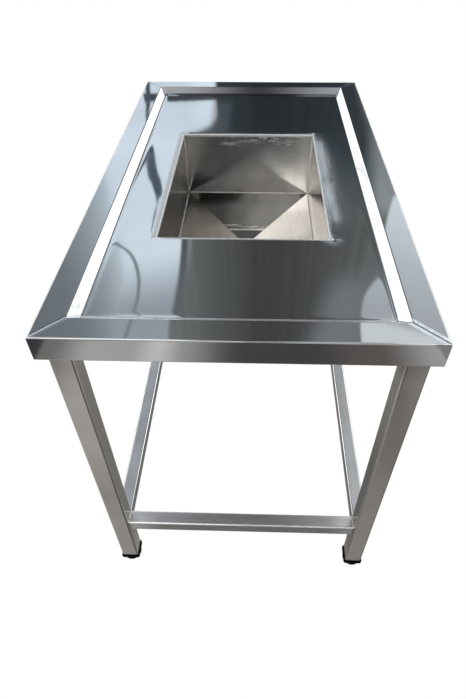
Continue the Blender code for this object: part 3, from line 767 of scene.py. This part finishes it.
def buildWelds():
    foot, head, thin = bowlFloor + weld["cornerFoot"], wallTop - weld["cornerHead"], weld["thin"]
    reachX, reachY = bowlHalfX - weld["floorEnd"], bowlHalfY - weld["floorEnd"]
    ends = (("front", -1), ("back", 1))
    for tag, signX in (("left", -1), ("right", 1)):
        wallX = signX * bowlHalfX
        for end, signY in ends:
            wallY = bowlY + signY * bowlHalfY
            buildBead(f"weld_bowl_{end}_{tag}", (wallX, wallY, foot), (wallX, wallY, head),
                      weld["bowlCorner"])
        buildBead(f"weld_bowl_floor_{tag}", (wallX, bowlY - reachY, bowlFloor),
                  (wallX, bowlY + reachY, bowlFloor), weld["radius"])
    for end, signY in ends:
        wallY = bowlY + signY * bowlHalfY
        buildBead(f"weld_bowl_floor_{end}", (-reachX, wallY, bowlFloor), (reachX, wallY, bowlFloor),
                  weld["radius"])
    low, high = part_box("stretcher_left")
    farX, farY, beadZ = -low.x, -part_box("stretcher_front")[0].y, high.z
    legX, legY = legMiddle.x - legHalf - weld["inset"], -legMiddle.y - legHalf - weld["inset"]
    for tag, signX in (("left", -1), ("right", 1)):
        for end, signY in ends:
            cornerX, cornerY = signX * legX, signY * legY
            corner = (cornerX, cornerY, beadZ)
            buildBead(f"weld_cross_{end}_{tag}", corner, (cornerX, signY * farY, beadZ), thin)
            buildBead(f"weld_side_{end}_{tag}", corner, (signX * farX, cornerY, beadZ), thin)
    blobZ = tableTop - worktop["deckDrop"] - weld["blobSink"]
    for (end, signY), (pastX, pastY, radius, squash) in zip(ends, weld["blobs"]):
        centre = (bowlHalfX + pastX, bowlY + signY * (bowlHalfY + pastY), blobZ)
        buildBlob(f"weld_blob_{end}", centre, radius, squash)


buildWelds()
print("welds made")


# Finishes of the solids that stay

finishes = {
    "bowl_wall": bowlWall,
    "bowl_floor": bowlFloorSheet,
    "waste_body": turnedSteel,
    "waste_nut": turnedSteel,
    "waste_seal": blackRubber,
    "waste_gasket": blackRubber,
    "waste_slip_ring": whitePlastic,
    "strainer": turnedSteel,
    "deck_stiffener": railAlongX,
    "foot_insert": blackPlastic,
    "foot_stem": zincSteel,
    "foot_pad": blackPlastic,
}
for name, node in cad.items():
    for start, material in finishes.items():
        if name.startswith(start):
            node.material_slots[0].material = material
print("finishes set")


# Studio

# Panels are painted in this order. az is degrees from the back of the room towards the right, el is degrees
# up. An edge is an az or a line of (el, az) points. el holds a panel's foot and head, low and high the paint
# there. A rear panel's az is counted from behind the camera towards the left
studio = {
    "pale": 1.0,
    "skyFront": ((0.62, 0.66, 0.70), (0.40, 0.42, 0.45)),
    "skyRear": ((0.34, 0.33, 0.32), (2.4, 2.4, 2.4)),
    "beam": (-0.13, 0.27, 0.03),  # over the rear sky, in x: left, right, soft
    "beamShare": 0.8,
    "horizon": (2.3, 2.3, 2.3),
    "horizonAside": (0.60, 0.61, 0.63),
    "horizonLow": (0.46, 0.455, 0.45),
    "horizonTop": (13.5, 12.0),
    "horizonLowTop": (10.5, 8.5),
    "lowWall": (0.72, 4.5),  # the white walls' height in degrees: rise by az, and height at az 0
    "windows": {
        "left": dict(left=-120, right=((16, -4.4), (44.5, -9.0)), el=(16, 44.5), soft=0.35,
                     low=(0.98, 1.12, 1.24), high=(0.98, 1.10, 1.20)),
        "right": dict(left=14.0, right=120, el=(26.8, 39.8), soft=0.4,
                      low=(0.94, 1.04, 1.11), high=(0.54, 0.57, 0.60)),
        "rightUpper": dict(left=((39.8, 14.0), (64, 11.5)), right=120, el=(39.8, 64), soft=0.6,
                           low=(0.90, 0.95, 0.98), high=(0.74, 0.76, 0.77)),
    },
    "wall": dict(  # the dark end of the room that the deck mirrors
        left=((12, -4.5), (20, -4.5), (20.8, -4.9), (21.6, -6.8), (22.6, -9.0), (32.3, -9.5), (35.1, -10.15),
              (37.6, -11.0), (38.9, -11.6), (42.5, -13.0), (60, -15)),
        right=((12, 18), (26, 17), (27, 15.7), (31, 15.6), (34.3, 16.3), (35.2, 15.9), (36.3, 15.2),
               (38, 14.7), (40, 14.8), (44, 15.6), (60, 11.5)),
        el=(12, 80), soft=0.22),
    "wallAcross": ((-12, 0.24), (-8.4, 0.20), (-6, 0.155), (-3.5, 0.125), (-1, 0.098), (0.6, 0.082),
                   (3, 0.088), (6, 0.10), (9.6, 0.128), (13.3, 0.165), (15.5, 0.24), (18, 0.30)),
    "wallUp": ((12, 0.46), (20, 0.48), (24, 0.68), (30, 1.0), (44, 1.0), (52, 0.5), (80, 0.3)),
    "wallTint": ((0.80, 1.0, 1.14), (0.97, 1.02, 1.01)),
    "wallFolds": 0.10,
    "wallPanels": {
        "upperRight": dict(left=((34, 11.0), (46, 7.5)), right=15.4, el=(35.5, 80), soft=2.2,
                           low=(0.26, 0.28, 0.285), high=(0.30, 0.31, 0.32)),
        "lowerRight": dict(left=((17, 10), (22, 12.3), (29, 13.8)), right=((17, 18), (22, 17.5), (29, 16)),
                           el=(16, 28.6), soft=1.1, low=(0.22, 0.235, 0.25), high=(0.40, 0.44, 0.46)),
        "inner": dict(left=((18, -4.6), (22.5, -6)), right=((18, -2.7), (22.5, -3.6)), el=(19, 22.4),
                      soft=0.5, low=(0.10, 0.12, 0.135), high=(0.10, 0.12, 0.135)),
    },
    "windowAcross": ((-45, 0.18), (-28, 0.24), (-24.8, 0.27), (-21.9, 0.37), (-20.4, 0.45), (-19.1, 0.55),
                     (-17.6, 0.74), (-16.4, 0.97), (-15, 1.0)),
    "windowUp": ((17, 0.87), (20.5, 0.92), (25, 1.07), (31, 1.08), (32.9, 1.02), (35.3, 0.82), (36.6, 0.68),
                 (38.2, 0.53), (39.5, 0.47), (44, 0.52)),
    "panels": {
        "wallEdge": dict(left=((31, -9.4), (35.1, -10.2), (37.6, -11.05), (42.5, -13.1)),
                         right=((31, -8.6), (35.1, -9.4), (37.6, -10.2), (42.5, -12.2)), el=(31, 41),
                         soft=0.2, low=(0.105, 0.125, 0.145), high=(0.19, 0.21, 0.22)),
        "wallSeam": dict(left=((31, -8.6), (35.1, -9.35), (37.6, -10.2), (42.5, -12.2)),
                         right=((31, -8.1), (35.1, -8.8), (37.6, -9.7), (42.5, -11.7)), el=(31, 37),
                         soft=0.25, low=(0.34, 0.37, 0.385), high=(0.20, 0.215, 0.22)),
        "sill": dict(left=-12, right=-4, el=(17.85, 18.7), soft=0.1,
                     low=(0.05, 0.06, 0.068), high=(0.05, 0.06, 0.068)),
        "leftUpper": dict(left=-120, right=((44.5, -14), (64, -15)), el=(44.5, 64), soft=0.6,
                          low=(0.74, 0.80, 0.87), high=(0.44, 0.47, 0.51)),
        "pillar": dict(left=((16.5, -11.5), (18.6, -11.85), (20.5, -12.05), (22.5, -12.0), (24, -12.55),
                             (25.3, -12.65), (26.3, -12.35), (27.2, -12.15), (27.8, -12.05), (29, -12.5),
                             (31.4, -13.4)),
                       right=((16.5, -11.1), (18.6, -11.4), (20.5, -11.7), (22.5, -11.6), (24, -11.6),
                              (25.3, -11.5), (26.3, -11.25), (27.2, -11.25), (27.8, -11.75), (29, -12.25),
                              (31.4, -13.2)),
                       el=(14, 31.0), soft=0.1, low=(0.085, 0.115, 0.15), high=(0.11, 0.145, 0.175)),
        "wire": dict(left=((31.0, -18.3), (31.7, -17.6), (33.5, -16.05), (35.4, -15.8), (37.5, -16.4),
                           (39.6, -17.8), (41.5, -19.2), (44, -21.5)),
                     right=((31.0, -17.8), (31.7, -17.1), (33.5, -15.6), (35.4, -15.35), (37.5, -15.95),
                            (39.6, -17.35), (41.5, -18.75), (44, -21.0)),
                     el=(31.0, 43.5), soft=0.14, low=(0.30, 0.35, 0.38), high=(0.24, 0.27, 0.29)),
    },
    "rearPanels": {
        "window": dict(left=1.6, right=75, el=(20, 33.6), soft=0.6,
                       low=(0.60, 0.58, 0.55), high=(2.5, 2.47, 2.4)),
        "dark": dict(left=-16, right=1.6, el=(14, 36.5), soft=0.6,
                     low=(0.05, 0.05, 0.05), high=(0.035, 0.035, 0.035)),
        "glow": dict(left=-13, right=((29.5, -6.6), (30.4, -5.9), (31.6, -4.8), (34.5, -3.8)),
                     el=(29.8, 34.4), soft=0.35, low=(2.1, 1.98, 1.8), high=(2.2, 2.08, 1.9)),
        "flag": dict(left=0, right=20, el=(34.6, 48), soft=0.7,
                     low=(0.012, 0.012, 0.012), high=(0.03, 0.03, 0.03)),
        "grey": dict(left=-16, right=((36.5, 0.8), (39, 0.8), (40.1, 1.6), (41.6, 4.0), (48, 5)),
                     el=(36.5, 48), soft=0.9, low=(0.34, 0.35, 0.35), high=(0.37, 0.38, 0.37)),
    },
    "flag": ((0.075, 0.08, 0.085), (0.56, 0.57, 0.58)),
    "flagFoot": (77.5, 79.5),
}


def panelMask(azimuth, elevation, panel):
    soft = panel["soft"]
    fromLeft = ramp(azimuth - curve(elevation, panel["left"]), -soft, soft)
    fromRight = ramp(curve(elevation, panel["right"]) - azimuth, -soft, soft)
    return fromLeft * fromRight * between(elevation, *panel["el"], soft)


def paintPanels(azimuth, elevation, panels, colour):
    for panel in panels.values():
        height = ramp(elevation, *panel["el"], kind="LINEAR")
        paint = blendColour(height, panel["low"], panel["high"])
        colour = blendColour(panelMask(azimuth, elevation, panel), colour, paint)
    return colour


# Soft boxes and flags round the table, as a function of direction; the camera itself sees plain white
def buildSky():
    world = bpy.data.worlds.new("studio")
    bpy.context.scene.world = world
    world.use_nodes = True
    tree = world.node_tree
    x, y, z = splitPlace(Amount(tree.nodes.new("ShaderNodeTexCoord").outputs["Generated"]))
    toDegrees = 180 / math.pi
    azimuth = calc("ARCTAN2", x, y) * toDegrees
    rearAzimuth = calc("ARCTAN2", x * -1.0, y * -1.0) * toDegrees
    elevation = calc("ARCSINE", z) * toDegrees
    aside = abs(azimuth)
    front = blendColour(ramp(elevation, 10, 80), *studio["skyFront"])
    rearHigh = ramp(elevation, 40, 62) * (1.0 - between(x, *studio["beam"]) * studio["beamShare"])
    rear = blendColour(rearHigh, *studio["skyRear"])
    colour = blendColour(ramp(aside, 95, 120), front, rear)
    colour = paintPanels(azimuth, elevation, studio["windows"], colour)
    # The wall's brightness is a curve across times a curve up, with faint upright folds
    folds = tree.nodes.new("ShaderNodeTexNoise")
    folds.noise_dimensions = "1D"
    folds.inputs["Detail"].default_value = 3.0
    folds.inputs["Scale"].default_value = 1.1
    feed(folds.inputs["W"], azimuth)
    depth = studio["wallFolds"]
    level = curve(azimuth, studio["wallAcross"]) * curve(elevation, studio["wallUp"])
    level = level * ramp(Amount(folds.outputs[0]), 0.3, 0.7, 1 - depth, 1 + depth, "LINEAR")
    wall = blendColour(ramp(elevation, 22, 31), *studio["wallTint"])
    wall = blendColour(1.0, wall, level, "MULTIPLY")
    wall = paintPanels(azimuth, elevation, studio["wallPanels"], wall)
    # The left window darkens outwards and upwards
    bright = least(curve(azimuth, studio["windowAcross"]), curve(elevation, studio["windowUp"]))
    shade = (1.0 - bright) * ramp(azimuth, -6, -8) * ramp(elevation, 45, 43.5) * ramp(azimuth, -75, -60)
    colour = blendColour(shade, colour, (0.0, 0.0, 0.0))
    colour = blendColour(panelMask(azimuth, elevation, studio["wall"]), colour, wall)
    colour = paintPanels(azimuth, elevation, studio["panels"], colour)
    # White walls low on both sides, higher further round, and the same white all along the horizon, duller
    # to the sides and below
    rise, start = studio["lowWall"]
    low = ramp(aside * rise + start - elevation, -1.0, 1.0) * ramp(aside, 13.5, 14.5) * ramp(aside, 110, 95)
    low = low * ramp(elevation, 48, 40)
    toSide = ramp(aside, 48, 62) * ramp(aside, 160, 145)
    horizon = blendColour(toSide, studio["horizon"], studio["horizonAside"])
    colour = blendColour(low, colour, horizon)
    colour = blendColour(ramp(elevation, *studio["horizonTop"]), colour, horizon)
    colour = blendColour(ramp(elevation, *studio["horizonLowTop"]), colour, studio["horizonLow"])
    colour = paintPanels(rearAzimuth, elevation, studio["rearPanels"], colour)
    # A dark flag overhead, lighter to both sides
    flag = blendColour(ramp(abs(x), 0.0, 0.15), *studio["flag"])
    colour = blendColour(ramp(elevation, *studio["flagFoot"]), colour, flag)
    seen = Amount(tree.nodes.new("ShaderNodeLightPath").outputs["Is Camera Ray"])
    pale = studio["pale"]
    feed(tree.nodes["Background"].inputs["Color"], blendColour(seen, colour, (pale, pale, pale)))


# A plain pale floor. The steel mirrors a duller painted ground that glows for glossy rays: painted shade
# under the table, a painted shadow spot before its front, a painted glint, and lighter and darker patches
def buildFloor():
    look = {
        "size": 40,
        "base": (0.10, 0.10, 0.10),
        "lit": 0.93,
        "ground": (0.56, 0.545, 0.525),
        "nearLegs": (0.40, 0.385, 0.365),
        "paintedShadeUnderTable": (0.15, 0.145, 0.135),
        "farRight": (0.15, 0.135, 0.125),
        "paintedShadowSpot": (0.085, 0.08, 0.075),
        "spotPlace": (0.13, -1.45),
        "spotEdge": (0.34, 0.10),
        "farLeft": (0.24, 0.235, 0.225),
        "farEnd": (0.52, 0.51, 0.50),
        "glint": (0.85, 0.81, 0.78),
        "corner": (0.07, 0.07, 0.075),
    }
    size = look["size"]
    mesh = bpy.data.meshes.new("floor")
    corners = [(-size, -size, 0), (size, -size, 0), (size, size, 0), (-size, size, 0)]
    mesh.from_pydata(corners, [], [(0, 1, 2, 3)])
    floor = bpy.data.objects.new("floor", mesh)
    bpy.context.scene.collection.objects.link(floor)
    material, shader, place = newMaterial("paleFloor", 0.0, 0.0)
    feed(shader.inputs["Base Color"], look["base"])
    feed(shader.inputs["Roughness"], 1.0)
    feed(shader.inputs["Emission Color"], (1.0, 1.0, 1.0))
    feed(shader.inputs["Emission Strength"], look["lit"])
    x, y, z = splitPlace(place)
    away = ramp(y, -0.62, -1.25)
    colour = blendColour(ramp(y, -1.05, -0.75), look["ground"], look["nearLegs"])
    colour = blendColour(ramp(x, -0.45, 0.75, 0.0, 0.35), colour, look["farRight"])
    colour = blendColour(ramp(x, -0.35, 0.0) * away, colour, look["farRight"])
    colour = blendColour(ramp(x, 0.50, 0.76) * away, colour, look["farEnd"])
    colour = blendColour(ramp(x, -0.60, -0.77) * away, colour, look["farLeft"])
    spotX, spotY = look["spotPlace"]
    colour = blendColour(ramp(distance(x - spotX, y - spotY), *look["spotEdge"]), colour, look["paintedShadowSpot"])
    glint = between(x, -0.40, -0.30, 0.06) * between(y, -1.7, -1.3, 0.1)
    colour = blendColour(glint, colour, look["glint"])
    colour = blendColour(ramp(x, -0.79, -0.82) * ramp(y, -1.28, -1.36), colour, look["corner"])
    under = between(x, -0.27, 0.27, 0.03) * between(y, -0.86, 0.60, 0.05)
    tree = place.tree
    # Glossy rays see this painted ground, with its painted shade and glint, as a glow, though it is no lamp
    paintedGroundGlow = tree.nodes.new("ShaderNodeEmission")
    feed(paintedGroundGlow.inputs["Color"], blendColour(under, colour, look["paintedShadeUnderTable"]))

    def mixByRay(ray, usual, other):
        mix = tree.nodes.new("ShaderNodeMixShader")
        tree.links.new(tree.nodes.new("ShaderNodeLightPath").outputs[ray], mix.inputs[0])
        tree.links.new(usual, mix.inputs[1])
        tree.links.new(other, mix.inputs[2])
        return mix.outputs[0]

    # The camera looks through to the equally white surroundings, so a foot screwed out below the floor stays
    # in sight
    surface = mixByRay("Is Glossy Ray", shader.outputs[0], paintedGroundGlow.outputs[0])
    surface = mixByRay("Is Camera Ray", surface, tree.nodes.new("ShaderNodeBsdfTransparent").outputs[0])
    tree.links.new(surface, tree.nodes["Material Output"].inputs["Surface"])
    mesh.materials.append(material)


def buildCamera():
    view = {
        "place": (0.0284, -1.1794, 1.3991),
        "turn": (45.06, 0.30, 1.68),
        "focal": 518.5,  # in pixels of the picture
        "centre": (242.4, 355.0),
        "picture": (466, 699),
        "sensor": 36.0,
    }
    wide, tall = view["picture"]
    camera = bpy.data.cameras.new("camera")
    camera.sensor_fit = "AUTO"
    camera.sensor_width = view["sensor"]
    camera.lens = view["focal"] * view["sensor"] / tall
    camera.shift_x = (wide / 2 - view["centre"][0]) / tall
    camera.shift_y = (view["centre"][1] - tall / 2) / tall
    holder = bpy.data.objects.new("camera", camera)
    holder.location = view["place"]
    holder.rotation_euler = [math.radians(angle) for angle in view["turn"]]
    bpy.context.scene.collection.objects.link(holder)
    bpy.context.scene.camera = holder


buildSky()
buildFloor()
buildCamera()
bpy.context.scene.view_settings.view_transform = "Standard"
print("studio made")

bpy.context.view_layer.update()
